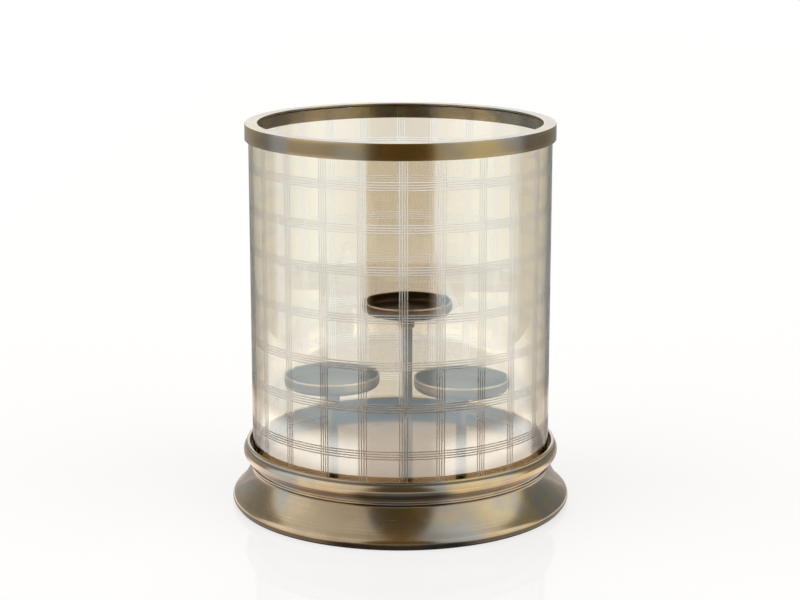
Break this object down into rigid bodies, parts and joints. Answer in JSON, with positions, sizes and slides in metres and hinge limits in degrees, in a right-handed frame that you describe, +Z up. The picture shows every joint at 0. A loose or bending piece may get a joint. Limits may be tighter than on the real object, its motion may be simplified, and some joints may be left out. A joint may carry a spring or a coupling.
{
  "type": "hurricane candle lantern",
  "caption": "Hurricane candle lantern: tinted glass cylinder with a cut plaid of lines and a brass rim, standing in a moulded round brass base over candle cups on posts.",
  "frame": {"origin": "on the table at the middle of the foot", "axes": "+Z up along the axis of the glass, +Y towards the tall candle cup"},
  "size_m": [0.2806, 0.2806, 0.3167],
  "materials": {
    "aged_brass": "antiqued, satin, turned lines",
    "polished_brass": "polished",
    "cup_brass": "antiqued, satin",
    "tinted_glass": "clear, warm tint, cut lines",
    "clear_silicone": "clear, matt",
    "black_sheet": "black paint",
    "felt": "felt",
    "plain_steel": "zinc plated"
  },
  "bodies": {
    "stand": {"base_skirt": "aged_brass", "gallery_collar": "aged_brass", "floor_plate": "polished_brass", "glass_gasket": "clear_silicone", "bottom_plate": "black_sheet", "felt_ring": "felt", "tie_rod": "plain_steel", "tie_washer": "plain_steel", "tie_nut": "plain_steel", "post_washers": "plain_steel", "post_nuts": "plain_steel", "candle_post_rear": "cup_brass", "post_ferrule_rear": "cup_brass", "candle_cup_rear": "cup_brass", "candle_post_left": "cup_brass", "post_ferrule_left": "cup_brass", "candle_cup_left": "cup_brass", "candle_post_right": "cup_brass", "post_ferrule_right": "cup_brass", "candle_cup_right": "cup_brass"},
    "shade": {"glass_cylinder": "tinted_glass", "rim_ring": "aged_brass", "rim_bedding": "clear_silicone"}
  },
  "joints": [
    {"name": "shade_lift", "type": "slide", "parent": "stand", "child": "shade", "axis": [0, 0, 1], "range_m": [0, 0.13]}
  ]
}
